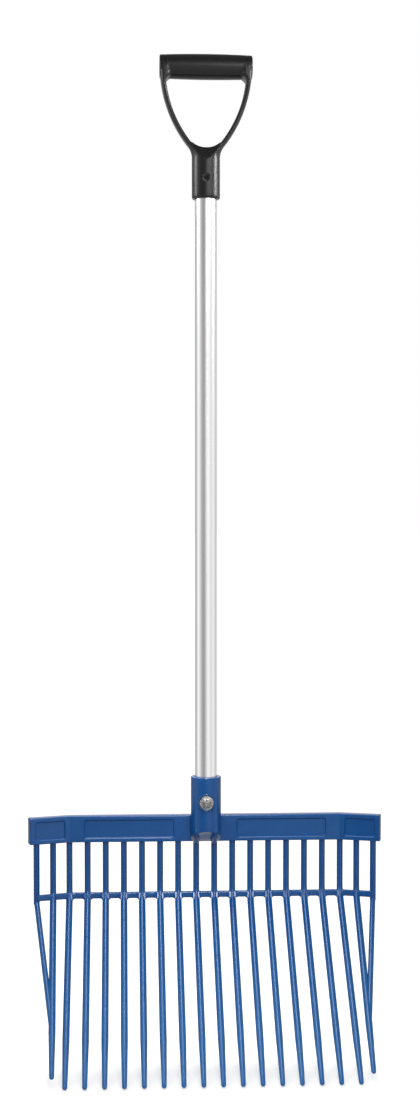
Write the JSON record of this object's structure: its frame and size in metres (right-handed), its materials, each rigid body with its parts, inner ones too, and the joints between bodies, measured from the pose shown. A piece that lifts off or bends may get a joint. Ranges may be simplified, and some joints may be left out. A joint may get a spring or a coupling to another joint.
{
  "type": "manure fork",
  "caption": "Long-handled stable fork with a moulded basket head of round bent tines, a straight tube shaft and a D-shaped hand grip, for lifting and sifting bedding.",
  "frame": {"origin": "on the shaft's axis, at the middle of the bare length between the head's socket and the grip", "axes": "+Z along the shaft up to the hand grip, -Y the load side to which the tines bend, +X to the right as seen from the load side"},
  "size_m": [0.4588, 0.2096, 1.2617],
  "materials": {
    "head_plastic": "semi-gloss moulded",
    "shaft_aluminium": "drawn, satin to bright",
    "grip_plastic": "satin moulded",
    "zinc_steel": "zinc plated"
  },
  "bodies": {
    "root": {"head_rail": "head_plastic", "cross_rib": "head_plastic", "tine_01": "head_plastic", "tine_02": "head_plastic", "tine_03": "head_plastic", "tine_04": "head_plastic", "tine_05": "head_plastic", "tine_06": "head_plastic", "tine_07": "head_plastic", "tine_08": "head_plastic", "tine_09": "head_plastic", "tine_10": "head_plastic", "tine_11": "head_plastic", "tine_12": "head_plastic", "tine_13": "head_plastic", "tine_14": "head_plastic", "tine_15": "head_plastic", "tine_16": "head_plastic", "wing_tine_right": "head_plastic", "wing_tine_left": "head_plastic", "wing_brace_right": "head_plastic", "wing_brace_left": "head_plastic", "shaft": "shaft_aluminium", "d_grip": "grip_plastic", "head_bolt": "zinc_steel", "head_nut": "zinc_steel", "grip_screw": "zinc_steel"}
  },
  "joints": []
}
